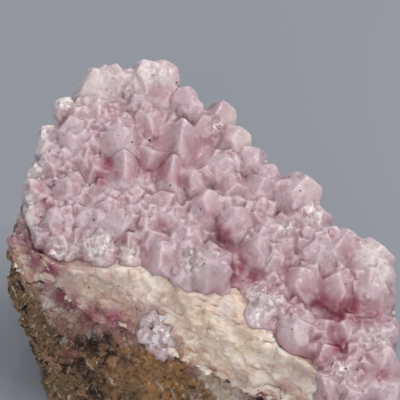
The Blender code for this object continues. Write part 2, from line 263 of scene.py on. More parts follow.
def vertex_places(item):
    """Places of the vertices as an array."""
    values = np.empty(len(item.data.vertices) * 3)
    item.data.vertices.foreach_get("co", values)
    return values.reshape(-1, 3)


def vertex_normals(item):
    """Normals of the vertices as an array."""
    values = np.empty(len(item.data.vertices) * 3)
    item.data.vertex_normals.foreach_get("vector", values)
    return values.reshape(-1, 3)


def set_places(item, places):
    """Moves the vertices to the places of an array."""
    item.data.vertices.foreach_set("co", places.ravel())
    item.data.update()


def triangles(item):
    """How many triangles the object has."""
    return sum(len(polygon.vertices) - 2 for polygon in item.data.polygons)

# %% [markdown]
# ## The broken rock
# The matrix is a grainy brown rock that broke with a hackly surface. Its solid has the
# big lumps. Sculpting the rest couldn't be repeated, so a copy is remeshed finely and then
# pushed in and out by layers of procedural texture: hollows a few millimetres wide, then
# ever finer grains. Wavy streaks that run one way give the split look of broken rock.

# %% The matrix rock
def relief(item, kind, size, strength, **settings):
    """Pushes the skin in and out by one procedural texture, sized in metres."""
    texture = bpy.data.textures.new(item.name + "_relief", kind)
    texture.noise_scale = size
    for name, value in settings.items():
        setattr(texture, name, value)
    apply_modifier(
        item, "DISPLACE", texture=texture, texture_coords="LOCAL", strength=strength,
        mid_level=0.5,
    )
    bpy.data.textures.remove(texture)


def streaks(item, size, length, lean, strength):
    """Raises and lowers the skin in long wavy streaks. Size is their width in metres,
    length is how many times longer they are, lean is degrees right of upright."""
    turn = math.radians(lean)
    along = np.array((math.sin(turn), 0, math.cos(turn)))
    places = vertex_places(item)
    squeezed = (places - np.outer(places @ along, along) * (1 - 1 / length)) / size
    heights = np.array([noise.fractal(place, 1.0, 2.1, 3) for place in squeezed.tolist()])
    set_places(item, places + vertex_normals(item) * (heights * strength)[:, None])


def break_stone(node, name, grain, ledges, grit):
    """Remeshed copy of a stone solid, with ledges, lumps and grains. The last two numbers
    are how far the lumps and the grains stand out, in millimetres."""
    item = merged_copy(node, name)
    apply_modifier(item, "REMESH", mode="VOXEL", voxel_size=grain)
    relief(item, "CLOUDS", 5 * MM, 2.2 * MM, noise_depth=3)
    relief(item, "VORONOI", 3.2 * MM, -ledges * MM)
    relief(item, "CLOUDS", 2.0 * MM, grit * 1.5 * MM, noise_depth=4, noise_type="HARD_NOISE")
    relief(item, "CLOUDS", 1.0 * MM, grit * MM, noise_depth=2)
    print(name, triangles(item), "triangles")
    return item


rock = break_stone("matrix_rock", "matrix_rock_surface", 0.45 * MM, 1.5, 1.2)
streaks(rock, 1.6 * MM, 3, 40, 0.7 * MM)

# %% [markdown]
# ## The cream bed
# The cream calcite is finer and splits along its length, so its grain is smaller and its
# streaks lie nearly flat. Along the foot of the crust the real bed stands up and holds the
# front crystals. Its solid is plainer, so that ridge is raised here.

# %% The cream bed
bed = break_stone("cream_calcite_layer", "cream_calcite_surface", 0.34 * MM, 0.9, 0.5)
streaks(bed, 2.2 * MM, 3, 117, 1.1 * MM)

# Where the pink crust ends over the cream bed: right and down in the frame.
DRUSE_EDGE = rows("""
    0 205, 25 216, 35 248, 60 262, 80 266, 140 263, 165 270, 178 280, 187 290, 213 288, 232 302,
    250 321, 272 329, 280 346, 305 358, 322 374, 330 400, 400 470
""")
SWELLING = 2.2  # millimetres that the bed stands up along the foot of the crust

places = vertex_places(bed)
right, down = seen_at(places)
below = below_edge(right, down, DRUSE_EDGE)
ridge = smooth_step((below + 2) / 12) * smooth_step((34 - below) / 30)
inside = smooth_step((right - 4) / 24)  # fades out at the left end
raised = (np.array(OUTWARD) * 0.9 - np.array(LOOK) * 0.3) * SWELLING * MM
set_places(bed, places + (ridge * inside)[:, None] * raised)
print("the ridge moves", int((ridge * inside > 0).sum()), "vertices")

# %% [markdown]
# ## Crystal masters
# Cobaltoan calcite grows here as stubby rhombohedra: a six-sided body under three sloping
# cap faces, with softened edges. Some are taller teeth, some rounder eggs, and some end
# flat where they broke. Shaping each by hand would be endless, and one shape everywhere
# would show. So a few masters of each kind are cut from cones, one unit wide with their
# tips at the origin, for copying.

# %% Shaping one master
ROOT_LENGTH = 2.4  # of a master below its tip, in widths
CAP_TILT = 5  # degrees that the cap faces differ from their habit
LARGE_FACE = 0.06  # area above which a face bulges, in square widths
# Radius of the body at the tip and at the root, then each ring of cap faces: degrees from
# the axis, how many there are, their turn, and the place that they pass through.
HABITS = {
    "tooth": (0.22, 1.10, [(62, 3, 0, 0.0, 0.0)]),
    "block": (0.54, 0.84, [(50, 3, 0, 0.0, 0.0)]),
    "egg": (0.52, 0.80, [(40, 3, 0, 0.0, 0.0), (60, 3, 60, 0.28, 0.18)]),
    "flat": (0.52, 0.84, [(12, 1, 270, 0.0, 0.0), (52, 3, 30, 0.34, 0.05)]),
}


def cut_cap(angle, around, reach, fall):
    """Cuts the edited mesh with one cap face, and closes it."""
    outer = Vector((math.cos(around), math.sin(around), 0))
    normal = outer * math.sin(angle) + Vector((0, 0, math.cos(angle)))
    bpy.ops.mesh.select_all(action="SELECT")
    bpy.ops.mesh.bisect(
        plane_co=outer * reach - Vector((0, 0, fall)), plane_no=normal,
        use_fill=True, clear_outer=True,
    )


def crystal_master(habit, seed, softness, segments, bulge):
    """A cone cut by its cap faces, with edges softened and faces bulged. The seed sets
    how far its faces differ from the habit."""
    chance = random.Random(seed)
    top, root, caps = HABITS[habit]
    bpy.ops.object.select_all(action="DESELECT")
    bpy.ops.mesh.primitive_cone_add(
        vertices=6, radius1=root, radius2=top, depth=ROOT_LENGTH + 0.1,
        location=(0, 0, -ROOT_LENGTH / 2 + 0.05),
    )
    item = bpy.context.object
    item.name = f"{habit}_master_{seed}"
    bpy.ops.object.transform_apply()
    for vertex in item.data.vertices:
        sector = round(math.atan2(vertex.co.y, vertex.co.x) / math.radians(60))
        swell = chance.uniform(1.02, 1.16) if sector % 2 else chance.uniform(0.86, 0.98)
        vertex.co.x *= swell
        vertex.co.y *= swell
    bpy.ops.object.mode_set(mode="EDIT")
    for angle, count, start, reach, fall in caps:
        for step in range(count):
            around = start + step * 360 / count + chance.uniform(-8, 8)
            steep = angle + chance.uniform(-CAP_TILT, CAP_TILT)
            sink = fall + chance.uniform(0, 0.07)
            cut_cap(math.radians(steep), math.radians(around), reach, sink)
    bpy.ops.mesh.select_all(action="SELECT")
    bpy.ops.mesh.remove_doubles(threshold=0.05)
    bpy.ops.mesh.bevel(offset=softness, segments=segments, affect="EDGES", clamp_overlap=True)
    if bulge:
        bpy.ops.mesh.select_all(action="DESELECT")
        shape = bmesh.from_edit_mesh(item.data)
        for face in shape.faces:
            if face.calc_area() > LARGE_FACE:
                face.select_set(True)
        bmesh.update_edit_mesh(item.data)
        bpy.ops.mesh.inset(thickness=0.07, depth=bulge, use_individual=True)
    bpy.ops.mesh.select_all(action="SELECT")
    bpy.ops.mesh.normals_make_consistent(inside=False)
    bpy.ops.object.mode_set(mode="OBJECT")
    return item


# %% The masters
MASTER_SEEDS = {"tooth": (0, 1, 2), "block": (0, 1, 2, 3), "egg": (0, 4, 11), "flat": (0, 1)}
SMALL_SEEDS = (("block", 0), ("block", 1), ("egg", 0), ("tooth", 0))
BULGE = 0.010  # of all but the flat ones
SOFTNESS, SMALL_SOFTNESS = 0.032, 0.04  # width of the rounded edges
MASTERS = {
    habit: [crystal_master(habit, seed, SOFTNESS, 2, BULGE * (habit != "flat")) for seed in seeds]
    for habit, seeds in MASTER_SEEDS.items()
}
SMALL_MASTERS = [crystal_master(*small, SMALL_SOFTNESS, 1, 0.0) for small in SMALL_SEEDS]
for kind, masters in [*MASTERS.items(), ("small", SMALL_MASTERS)]:
    print(kind, "masters have", [len(item.data.polygons) for item in masters], "faces")

# %% [markdown]
# ## Where each crystal stands
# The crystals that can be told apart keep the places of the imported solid: across and up
# the face, width, height, lean to the right and up, and the habit unless it is a block.
# Scattering them at random would be quicker, but nobody would know the specimen again.

# %% The named crystals
CRYSTALS = rows("""
    -21 27 7.5 6 -10 18, -17 28 5 5 0 25, -13.4 26 4.8 5 0 16 egg, -11 28 4.6 7 -6 26,
    -7.4 28 5 7 10 24, -28 21 4.6 4.5 -30 20, -31 15 4 5 -38 12, -25.5 15 6.2 5.6 -16 10,
    -26 9.5 5.4 5 -12 0 egg, -3 23 4.4 5 8 20 egg, -2 20.5 4.2 5 0 12 egg, 4.3 19.3 4.8 6.5 12 24,
    1 17 4.4 5 -10 10, 7.5 14 4.6 5.6 24 18, 10.8 9.6 4.6 5.4 28 16, 14 6.2 4 4.6 28 16 egg,
    -16 14.5 8.6 6.6 4 8 egg, -15.5 6.6 7.2 10.5 4 28 tooth, -3.6 13.8 9.4 11 2 24 tooth,
    -5.2 6 6.4 9.5 2 26 tooth, -10.2 17.6 5.4 5 -8 6, -20.5 19.5 6 5 6 0, -1 4.6 4.6 5.4 -4 8 egg,
    1.6 -1 5.2 8 0 20 egg, 5 7.6 8 6.2 12 4 egg, 7 2.4 5.2 5.4 10 -4, 7 -3.6 6.4 6.6 2 10 egg,
    12.4 3 5.6 6 18 10, -10 9.6 4.6 5 10 -10, -21 6.4 5.2 5 -8 -6, -30.6 8 4.6 4.4 -34 0,
    -21 -0.6 5.4 5.4 0 -18, -28 -4.4 5.6 5.4 -14 -4 egg, -17.4 -3.6 8.4 4.6 0 -8 flat,
    -26.4 2.6 5.2 5.2 -14 6, -14 -9.4 5.4 7.2 0 22 tooth, -22 -9.4 4.4 4.2 -10 -8,
    -18.8 -11 4.2 4.4 6 -8 egg, -9.6 -2.6 5.6 6 -10 6, -6 -4 5 5.6 12 0, -7.5 -11.4 6.6 7.4 0 14,
    -2.6 -7.6 5.4 5.2 0 4 egg, -2.4 -12.4 4.6 4.8 10 4, -3.4 -16.4 6.6 4.8 -6 -6 egg,
    2.2 -14.6 6.8 8 2 16 flat, -32 -8 4 3.8 -30 -10, 12.4 -9.4 7.6 6.2 0 6 egg,
    17.6 -9.4 5.6 5.4 22 -10, 13.4 -5.4 5 5 8 10 egg, 14.6 -13 4.8 4.6 -6 -8, 17 2.8 3.8 5 26 18,
    20.6 2.4 6.8 7.4 22 18, 23.4 -3.2 5 5.2 24 6, 24.8 -7.2 4 4.6 10 0, 19 -4.6 4.8 5 0 0 egg,
    24 -11.4 7.4 6 0 2 egg, 29 -8.6 6.8 6.8 20 14, 35 -11.4 6.4 6 26 10,
    36.6 -15.4 4.2 4.6 24 0 egg, 32.4 -14.4 4.8 4.8 4 6, 20.4 -16.6 5.8 6.6 0 10,
    27.4 -17.8 5.4 6.8 0 14, 34 -19 8.4 6 12 0 egg, 12.6 -22 9.4 6.8 -4 8,
    19.6 -27.4 6.8 6.8 -2 6 egg, 25 -27.4 4.2 5 4 4, 28.4 -27.6 4.4 5 -6 6, 31.6 -28.6 4.6 5 8 0,
    36 -29 4.8 4.8 20 0, 36 -34.4 6.6 6.4 16 0 egg, 24.6 -32 4.4 5.2 -10 0,
    28.8 -36.6 5.6 5.4 0 -6, 31 -32.8 4.6 5 4 0 egg, 34 -39.6 5 5 8 -14, 37.6 -40 4.6 4.6 24 -14,
    29.6 -41 5.4 4.8 -8 -16, 24.6 -38.4 5 4.6 -14 -10, -9.4 26.6 7.6 5.6 0 22
""")
# Bare pits between them: across, up and radius.
HOLLOWS = rows("-18 7.6 2.6, 5.4 -9.4 3, 9.2 -15.6 4.4, 25 -22.4 3.4, 33.4 -24.2 3.6, 27.4 -31 2")
ROOT = 2.2  # of each crystal below the sheet
STEEPER = 14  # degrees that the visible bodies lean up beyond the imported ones
PACKING = 1.26  # how much wider each body is than its visible width, so that neighbours meet
print(len(CRYSTALS), "named crystals")

# %% [markdown]
# ## The sheet that they stand on
# Under the crystals lies a sheet of the same pink calcite. A flat slab would lose its
# swells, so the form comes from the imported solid: a copy is remeshed and smoothed, which
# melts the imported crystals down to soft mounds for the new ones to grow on.

# %% The sheet
LEVELLING = 40  # rounds of smoothing, which level crystals and gaps to their mean height
FILLING = 0.2 * MM  # how far the smoothed sheet is then raised
SHEET_GRAIN = 0.8 * MM


def outs(item):
    """Height of each vertex over the crystal face, in millimetres."""
    return (vertex_places(item) - np.array(FACE_MIDDLE)) @ np.array(OUTWARD) / MM


sheet = merged_copy("pink_crystal_druse", "pink_crystal_surface")
apply_modifier(sheet, "REMESH", mode="VOXEL", voxel_size=SHEET_GRAIN)
free = sheet.vertex_groups.new(name="free")
for index, weight in enumerate(smooth_step((outs(sheet) + 3.4) / 1.6)):
    free.add([index], float(weight), "REPLACE")
apply_modifier(sheet, "SMOOTH", factor=0.5, iterations=LEVELLING, vertex_group="free")
apply_modifier(sheet, "DISPLACE", strength=FILLING, mid_level=0.0, vertex_group="free")
sheet.vertex_groups.clear()
print("sheet:", triangles(sheet), "triangles, up to", round(outs(sheet).max(), 1), "mm high")

# %% [markdown]
# ## Planting
# A crystal is planted as a copy of a master, sized and turned, with its root cut off a
# little below the sheet. Linked copies would be lighter, but all become one skin in the
# end. Small crystals then fill the bare places between the named ones: broad low ones
# first, then ever smaller, until none fits.

# %% Planting copies
GARDEN_SEED = 27
LEFT_SIDE, LEFT_SHARE = -25, 0.75  # millimetres across, and the smaller size beyond it

garden = bpy.data.collections.new("crystal_garden")
bpy.context.scene.collection.children.link(garden)
planted = []


def plant(master, tip, axis, turn, width, depth):
    """Own copy of a master with its tip here, cut off at this depth below the tip."""
    placing = (
        Matrix.Translation(tip) @ axis.to_track_quat("Z", "Y").to_matrix().to_4x4()
        @ Matrix.Rotation(turn, 4, "Z") @ Matrix.Scale(width * MM, 4)
    )
    shape = bmesh.new()
    shape.from_mesh(master.data)
    whole = shape.verts[:] + shape.edges[:] + shape.faces[:]
    low = Vector((0, 0, -min(depth / width, ROOT_LENGTH - 0.3)))
    result = bmesh.ops.bisect_plane(
        shape, geom=whole, dist=1e-5, plane_co=low, plane_no=(0, 0, -1), clear_outer=True
    )
    rim = [item for item in result["geom_cut"] if isinstance(item, bmesh.types.BMEdge)]
    bmesh.ops.contextual_create(shape, geom=rim)
    shape.transform(placing)
    data = bpy.data.meshes.new("crystal")
    shape.to_mesh(data)
    shape.free()
    item = bpy.data.objects.new("crystal", data)
    garden.objects.link(item)
    planted.append((tip.copy(), axis.copy(), width))
    return item


chance = random.Random(GARDEN_SEED)
for across, up, width, height, right, lean_up, *habit in CRYSTALS:
    if across < LEFT_SIDE:
        width, height = width * LEFT_SHARE, height * LEFT_SHARE
    axis = lean_axis(right, lean_up + STEEPER)
    tip = on_face(across, up) + axis * (height / 2 * MM)
    master = chance.choice(MASTERS[habit[0] if habit else "block"])
    plant(master, tip, axis, chance.uniform(0, math.tau), width * PACKING, height + ROOT)
print(len(planted), "crystals planted")

# %% Smaller crystals between them
GROWTH = lean_axis(4, 28)  # the way that most crystals lean


def face_place(point):
    """(across, up, out) in millimetres of a world point."""
    offset = (point - FACE_MIDDLE) / MM
    return offset.dot(ACROSS), offset.dot(UP_FACE), offset.dot(OUTWARD)


# Round spots of the frame (right, down, radius) with sugary growth, and along the left rim.
SUGAR = rows("""
    64 100 16, 98 247 20, 128 252 14, 190 258 13, 262 304 24, 315 212 13, 379 335 13, 288 226 10,
    46 128 12, 36 165 12, 28 200 12, 60 255 16, 128 92 8, 182 118 9, 218 124 8, 352 228 8,
    335 372 14, 306 376 12
""")
LEFT_RIM = rows("""
    14 240 12, 16 224 12, 20 206 12, 25 188 12, 31 170 12, 37 152 12, 43 134 12, 50 117 12,
    58 101 11, 68 88 11, 80 79 9, 30 238 12, 44 244 12, 34 222 10
""")


def in_spots(points, spots):
    """Which points lie in round spots (right, down, radius) of the frame."""
    right, down = seen_at(points)
    inside = np.zeros(len(right), dtype=bool)
    for x, y, radius in spots:
        inside |= np.hypot(right - x, down - y) < radius
    return inside


def in_crystal(spot, margin):
    """Whether a place lies within this many millimetres of a planted crystal, which is
    taken as a blunt cone."""
    for tip, axis, width in planted:
        reach = tip - spot
        drop = reach.dot(axis)
        if -margin * MM < drop < 1.6 * width * MM:
            radius = min(1.1 * drop, 0.46 * width * MM + 0.13 * drop)
            if (reach - axis * drop).length < max(0.0, radius) + margin * MM:
                return True
    return False


# Lowest height over the face, farthest place to the left and steepest slope of growth.
ON_TOP = (-2.6, -37.5, 0.15)
OVER_RIM = (-7, -38.2, -0.2)
NARROW = 1.6  # widest crystal in a hollow, in millimetres


def grow(count, widths, heights, spacing, spread, masters, spots=None, limits=ON_TOP):
    """Crystals of these widths, and heights in widths, on bare places of the sheet, or in
    spots of it. Spacing is in widths too, and spread is how unevenly they lean."""
    lowest, leftmost, steepest = limits
    faces = [face for face in sheet.data.polygons if face.normal.dot(OUTWARD) > steepest]
    if spots:
        inside = in_spots([face.center for face in faces], spots)
        faces = [face for face, keeps in zip(faces, inside) if keeps]
    chance.shuffle(faces)
    grown = 0
    for face in faces:
        if grown >= count:
            break
        width = chance.uniform(*widths)
        spot = face.center
        across, up, out = face_place(spot)
        deep = any(math.hypot(across - x, up - y) < r for x, y, r in HOLLOWS)
        if deep and width > NARROW or out < lowest or across < leftmost:
            continue
        if in_crystal(spot, width * spacing):
            continue
        lean = Vector([chance.gauss(0, spread) for _ in range(3)])
        axis = (face.normal * 0.6 + GROWTH * 0.7 + lean).normalized()
        height = width * chance.uniform(*heights)
        tip = spot + axis * height * MM
        master = chance.choice(masters)
        plant(master, tip, axis, chance.uniform(0, math.tau), width, height + width * 0.7)
        grown += 1
    print(grown, "crystals", widths, "mm wide")


grow(70, (4.2, 5.8), (0.20, 0.40), 0.05, 0.14, MASTERS["block"] + MASTERS["egg"])
grow(120, (2.6, 3.8), (0.30, 0.50), 0.05, 0.20, MASTERS["block"] + MASTERS["tooth"])
grow(160, (1.6, 2.4), (0.3, 0.6), 0.05, 0.30, SMALL_MASTERS)
grow(300, (0.9, 1.7), (0.3, 0.6), 0.02, 0.5, SMALL_MASTERS, SUGAR)
grow(70, (1.4, 2.6), (0.3, 0.5), 0.0, 0.30, SMALL_MASTERS, LEFT_RIM, OVER_RIM)
grow(200, (0.8, 1.4), (0.4, 0.7), 0.0, 0.5, SMALL_MASTERS, LEFT_RIM, OVER_RIM)

# %% [markdown]
# ## The clear crystals
# Low in the cream bed sits a nest of clear crystals. Placing them by X, Y and Z would take
# many trials, so a line of sight finds the spot of the bed where each one shows.

# %% Clear crystals in the cream bed
CLEAR = rows("""
    152 318 4.6, 164 331 4.4, 155 341 3.6, 170 344 3.6, 146 330 3.4, 162 319 3.2, 163 351 2.6
""")  # right and down in the frame, and width in millimetres
CLEAR_HEIGHT = 0.48  # in widths


def seen_ray(right, down):
    """Line of sight through this place of the frame."""
    step = VIEW_WIDTH / VIEW_DISTANCE / FRAME
    aside = ACROSS * ((right - FRAME / 2) * step)
    return (LOOK + aside + ACROSS.cross(LOOK) * ((FRAME / 2 - down) * step)).normalized()


bed_tree = BVHTree.FromObject(bed, bpy.context.evaluated_depsgraph_get())


for x, y, width in CLEAR:
    height = width * CLEAR_HEIGHT
    master = chance.choice(MASTERS["block"])
    spot = bed_tree.ray_cast(CAMERA_PLACE, seen_ray(x, y))[0]
    lean = Vector([chance.gauss(0, 0.14) for _ in range(3)])
    axis = (GROWTH * 0.5 - LOOK * 0.8 + lean).normalized()
    turn = chance.uniform(0, math.tau)
    plant(master, spot + axis * height * MM, axis, turn, width, height + 2)
print(len(planted), "crystals in all")

# %% [markdown]
# ## One skin
# Crystals that only stand in each other show hard dark seams. A union makes one closed
# skin of sheet and crystals. Its long triangles are then cut evenly and smoothed a little,
# as the real edges are worn. Roots that would hang over the bed are pressed down into it.

# %% One skin
apply_modifier(
    sheet, "BOOLEAN", operation="UNION", solver="MANIFOLD", operand_type="COLLECTION",
    collection=garden,
)
for item in list(garden.objects):
    bpy.data.objects.remove(item)
sheet.data.materials.clear()
print("crust:", triangles(sheet), "triangles")

# %% Even triangles
LONGEST_EDGE = 0.9 * MM
WEAR = 0.5  # share of the way to its neighbours' mean that each vertex moves
ROUNDS = 3  # of cutting, and of wearing
pick(sheet)
bpy.ops.object.mode_set(mode="EDIT")
bpy.ops.mesh.select_mode(type="EDGE")
bpy.ops.mesh.select_all(action="SELECT")
bpy.ops.mesh.quads_convert_to_tris()
for _ in range(ROUNDS):
    bpy.ops.mesh.select_all(action="DESELECT")
    shape = bmesh.from_edit_mesh(sheet.data)
    for edge in shape.edges:
        if edge.calc_length() > LONGEST_EDGE:
            edge.select_set(True)
    bmesh.update_edit_mesh(sheet.data)
    bpy.ops.mesh.subdivide(number_cuts=1)
    bpy.ops.mesh.select_all(action="SELECT")
    bpy.ops.mesh.quads_convert_to_tris()
bpy.ops.mesh.vertices_smooth(factor=WEAR, repeat=ROUNDS)
bpy.ops.object.mode_set(mode="OBJECT")
print("crust, evenly cut:", triangles(sheet), "triangles")

# %% The foot of the crust
SUNK = 3.0  # millimetres that hanging roots go down into the bed
CLEAR_NEST = (160, 333, 32)  # right, down and radius of the clear crystals, which stay

places = vertex_places(sheet)
right, down = seen_at(places)
below = below_edge(right, down, DRUSE_EDGE)
start = np.interp(right, (70, 110), (-4, 3))  # sooner at the left end
share = smooth_step((below - start) / 10) * smooth_step((60 - below) / 10)
share *= ~in_spots(places, [CLEAR_NEST])
set_places(sheet, places - share[:, None] * np.array(OUTWARD) * SUNK * MM)
print(int((share > 0).sum()), "vertices sunk")

# %% [markdown]
# ## How open each place is
# Light that bounces between the crystals takes on their colour, so crevices look deep
# rose and free tips nearly white. An ambient occlusion node would find them in one
# renderer only. So rays are sent out from every vertex, and the crust keeps what they meet
# as numbers on its vertices, with how near a tip each one is.

# %% Measuring openness
def spread_rays(count):
    """Even directions over the upper half of a sphere."""
    rays = []
    for step in range(count):
        height = (step + 0.5) / count
        around = step * math.pi * (3 - math.sqrt(5))
        flat = math.sqrt(1 - height * height)
        rays.append(Vector((flat * math.cos(around), flat * math.sin(around), height)))
    return rays


RAY_START = 0.03 * MM  # off the skin
HIT_SHARE = 0.45  # what a ray counts that just meets something at the end of its reach


def openness(item, reach, count):
    """Share of the rays from each vertex that meet nothing within the reach."""
    tree = BVHTree.FromObject(item, bpy.context.evaluated_depsgraph_get())
    rays = spread_rays(count)
    shares = np.zeros(len(item.data.vertices), dtype=np.float32)
    for index, vertex in enumerate(item.data.vertices):
        normal = vertex.normal
        turn = normal.to_track_quat("Z", "Y")
        start = vertex.co + normal * RAY_START
        free = 0
        for ray in rays:
            hit = tree.ray_cast(start, turn @ ray, reach)[3]
            free += 1.0 if hit is None else HIT_SHARE * hit / reach
        shares[index] = free / count
    return shares


def keep(item, name, values):
    """Stores one number for each vertex."""
    layer = item.data.attributes.new(name, "FLOAT", "POINT")
    layer.data.foreach_set("value", np.asarray(values, dtype=np.float32))


# %% Which crystal each place belongs to
TONE_SEED = 5
NEIGHBOURS = 6  # crystals compared for each vertex


def crystal_values(item):
    """For each vertex: how near it is to its crystal's tip, and that crystal's own tone."""
    tips = KDTree(len(planted))
    for index, (tip, axis, width) in enumerate(planted):
        tips.insert(tip - axis * 0.3 * width * MM, index)
    tips.balance()
    tones = np.random.default_rng(TONE_SEED).uniform(0, 1, len(planted))
    near_tip = np.zeros(len(item.data.vertices))
    tone = np.zeros(len(item.data.vertices))
    for number, vertex in enumerate(item.data.vertices):
        best = min(
            tips.find_n(vertex.co, NEIGHBOURS),
            key=lambda found: found[2] / (planted[found[1]][2] * MM),
        )
        tip, axis, width = planted[best[1]]
        drop = (tip - vertex.co).dot(axis) / (width * MM)
        near_tip[number] = 1 - max(0.0, min(1.0, drop / 0.8))
        tone[number] = tones[best[1]]
    return near_tip, tone


near_tip, own_tone = crystal_values(sheet)
keep(sheet, "tip", near_tip)
keep(sheet, "tone", own_tone)
print("mean nearness to a tip:", round(float(near_tip.mean()), 2))

# %% Openness of the crust
OPEN_REACH = 7 * MM
RAYS = 18

crust_open = openness(sheet, OPEN_REACH, RAYS)
keep(sheet, "open", crust_open)
print("openness of the crust:", np.percentile(crust_open, [5, 25, 50, 75, 95]).round(2))

# %% [markdown]
# ## Finishes
# Each finish is built from nodes, because grains and stains that are computed stay sharp
# from close by and need no picture. Wiring nodes by hand takes many steps, so a small
# class holds a short call for each kind of node that is used here.

# %% Wiring helpers
BELOW, ABOVE, MIXED = 6, 7, 2  # numbers of the colour sockets of a Mix node


def per_metre(size):
    """Texture scale for features of this many millimetres."""
    return 1000 / size


def srgb(red, green, blue):
    """Linear colour from one given as 0 to 255."""
    channel = [value / 255 for value in (red, green, blue)]
    linear = [c / 12.92 if c <= 0.04045 else ((c + 0.055) / 1.055) ** 2.4 for c in channel]
    return (*linear, 1)


class Wiring:
    """Short calls for the nodes of one node tree."""

    def __init__(self, tree):
        self.tree = tree
        self.place = self.add("TexCoord").outputs["Object"]

    def feed(self, socket, value):
        """Links a socket to another one, or gives it a constant."""
        if isinstance(value, bpy.types.NodeSocket):
            self.tree.links.new(value, socket)
        else:
            socket.default_value = value

    def add(self, kind, inputs=None, **settings):
        """New shader node with these settings, its inputs linked or constant."""
        node = self.tree.nodes.new("ShaderNode" + kind)
        for name, value in settings.items():
            setattr(node, name, value)
        for name, value in (inputs or {}).items():
            self.feed(node.inputs[name], value)
        return node

    def attribute(self, name):
        """Number stored on the vertices."""
        return self.add("Attribute", attribute_name=name).outputs["Fac"]

    def texture(self, kind, scale, **inputs):
        """Texture node on the object's own coordinates."""
        return self.add("Tex" + kind, {"Vector": self.place, "Scale": scale, **inputs})

    def noise(self, size, detail, roughness):
        """Noise from 0 to 1 with features of about this many millimetres."""
        node = self.texture("Noise", per_metre(size), Detail=detail, Roughness=roughness)
        return node.outputs["Fac"]

    def mask(self, value, low, high, start=0.0, end=1.0):
        """From start where the value is at low to end where it is at high, smoothly."""
        limits = {"From Min": low, "From Max": high, "To Min": start, "To Max": end}
        node = self.add("MapRange", {"Value": value, **limits}, interpolation_type="SMOOTHSTEP")
        return node.outputs["Result"]

    def math(self, operation, first, *others):
        """Arithmetic on two or more values, from left to right."""
        for other in others:
            step = self.add("Math", {0: first, 1: other}, operation=operation)
            first = step.outputs["Value"]
        return first

    def around(self, value, middle, gain):
        """How far a value lies above a middle, times a gain."""
        return self.math("MULTIPLY", self.math("SUBTRACT", value, middle), gain)

    def layers(self, colour, *coats):
        """A colour under coats, each given as its mask, a share of it, and its colour,
        which is another socket or is given as 0 to 255."""
        for mask, share, coat in coats:
            if share != 1:
                mask = self.math("MULTIPLY", mask, share)
            paint = srgb(*coat) if isinstance(coat, tuple) else coat
            sockets = {"Factor": mask, BELOW: colour, ABOVE: paint}
            colour = self.add("Mix", sockets, data_type="RGBA").outputs[MIXED]
        return colour

    def effect(self, shared, **values):
        """Places a shared effect here with its own values."""
        return self.add("Group", values, node_tree=shared.tree).outputs[0]

# %% [markdown]
# ## Shared effects
# Ragged patches, dark mineral specks and drawn-out fibres turn up on more than one of the
# minerals. Each could be wired again in every material. As a node group it is built once,
# and placed in each with its own size and strength.

# %% Patches, specks and fibres
class Effect(Wiring):
    """Node group with named inputs and one output."""

    def __init__(self, name, output, kind, **inputs):
        tree = bpy.data.node_groups.new(name, "ShaderNodeTree")
        for title, value in inputs.items():
            shape = "NodeSocketVector" if isinstance(value, tuple) else "NodeSocketFloat"
            socket = tree.interface.new_socket(title, in_out="INPUT", socket_type=shape)
            socket.default_value = value
        tree.interface.new_socket(output, in_out="OUTPUT", socket_type=kind)
        super().__init__(tree)
        self.given = tree.nodes.new("NodeGroupInput").outputs
        self.result = tree.nodes.new("NodeGroupOutput").inputs[0]


PATCHY = Effect(
    "patchy_mask", "Mask", "NodeSocketFloat",
    Mask=1.0, Scale=500.0, Detail=4.0, Roughness=0.6, Low=0.4, High=0.6,
)
mask, scale, detail, roughness, low, high = PATCHY.given[:6]
grain = PATCHY.texture("Noise", scale, Detail=detail, Roughness=roughness).outputs["Fac"]
PATCHY.feed(PATCHY.result, PATCHY.math("MULTIPLY", mask, PATCHY.mask(grain, low, high)))

SPECKS = Effect("specks", "Mask", "NodeSocketFloat", Scale=400.0, Edge=0.08, Core=0.05)
scale, edge, core = SPECKS.given[:3]
nearest = SPECKS.texture("Voronoi", scale).outputs["Distance"]
SPECKS.feed(SPECKS.result, SPECKS.mask(nearest, edge, core))

FIBRES = Effect(
    "fibres", "Value", "NodeSocketFloat",
    Scale=500.0, Detail=3.0, Lean=(0.0, 0.0, 0.0), Stretch=(1.0, 1.0, 3.0),
)
scale, detail, lean, stretch = FIBRES.given[:4]
drawn_out = {"Vector": FIBRES.place, "Rotation": lean, "Scale": stretch}
FIBRES.place = FIBRES.add("Mapping", drawn_out, vector_type="TEXTURE").outputs["Vector"]
fibre = FIBRES.texture("Noise", scale, Detail=detail, Roughness=0.6, Distortion=0.6)
FIBRES.feed(FIBRES.result, fibre.outputs["Fac"])


def patchy(tree, mask, size, detail, roughness, low, high):
    """A mask broken up into ragged patches, where noise of this size rises past low."""
    values = {"Mask": mask, "Detail": detail, "Roughness": roughness, "Low": low, "High": high}
    return tree.effect(PATCHY, Scale=per_metre(size), **values)


def fibres(tree, size, length, lean, detail):
    """Noise drawn out this many times as long as wide, leaning right by degrees."""
    values = {"Detail": detail, "Lean": (0, math.radians(lean), 0), "Stretch": (1, 1, length)}
    return tree.effect(FIBRES, Scale=per_metre(size), **values)


print("shared effects:", [group.name for group in bpy.data.node_groups])

# %% [markdown]
# ## Where the stains lie
# The broken front isn't one colour. Brown matrix grades through beige into cream, with
# magenta, rust and chalky patches, and dark ones: painted shade in a hollow, painted shadow
# low on the left, and a few dark spots. Noise alone would put them anywhere. Each patch is
# named by where it shows, and is kept as a number on the vertices that face that way, so it
# stays on the stone from every side.

# %% Placing stains and painted shade
REACH = 0.6  # how far stains lie beyond the vertices that are seen edge on
BED_REACH = 1.6  # the same on the bed, whose edges turn farther from the viewer


def facing(item, reach=REACH):
    """1 on vertices that face the viewer, 0 on those that face away."""
    return smooth_step(vertex_normals(item) @ -np.array(LOOK) / 0.3 + reach)


